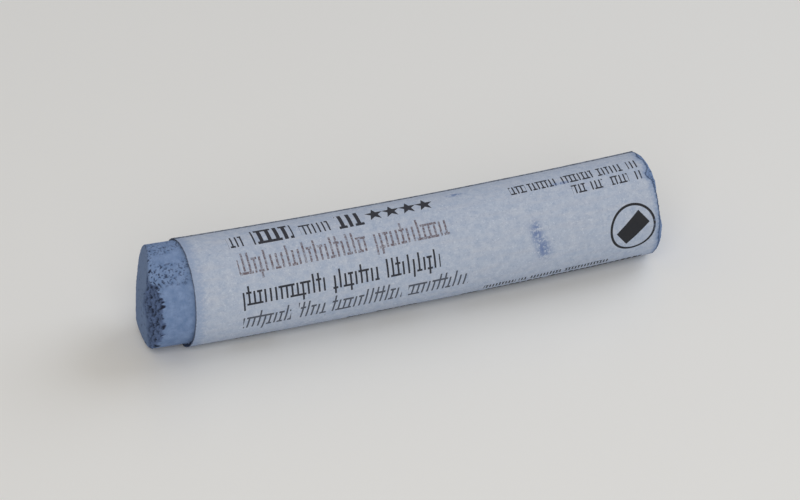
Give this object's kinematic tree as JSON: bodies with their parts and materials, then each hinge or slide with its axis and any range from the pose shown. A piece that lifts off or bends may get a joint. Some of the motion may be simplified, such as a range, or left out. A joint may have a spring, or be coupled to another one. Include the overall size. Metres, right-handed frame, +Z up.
{
  "type": "soft pastel stick",
  "caption": "Round stick of pressed blue soft pastel in a pasted paper sleeve, with a worn and chipped drawing end and a square butt end.",
  "frame": {"origin": "middle of the stick's length and width, on the surface that it lies on", "axes": "+X along the stick from its worn drawing end towards its butt end, +Z up, -Y towards the side that shows the print"},
  "size_m": [0.062, 0.0125, 0.0123],
  "materials": {
    "pressed_pigment": "matt, powdery, finely pitted",
    "label_paper": "thin uncoated paper, tinted by the pigment under it"
  },
  "bodies": {
    "root": {"pigment_stick": "pressed_pigment", "paper_wrapper": "label_paper"}
  },
  "joints": []
}
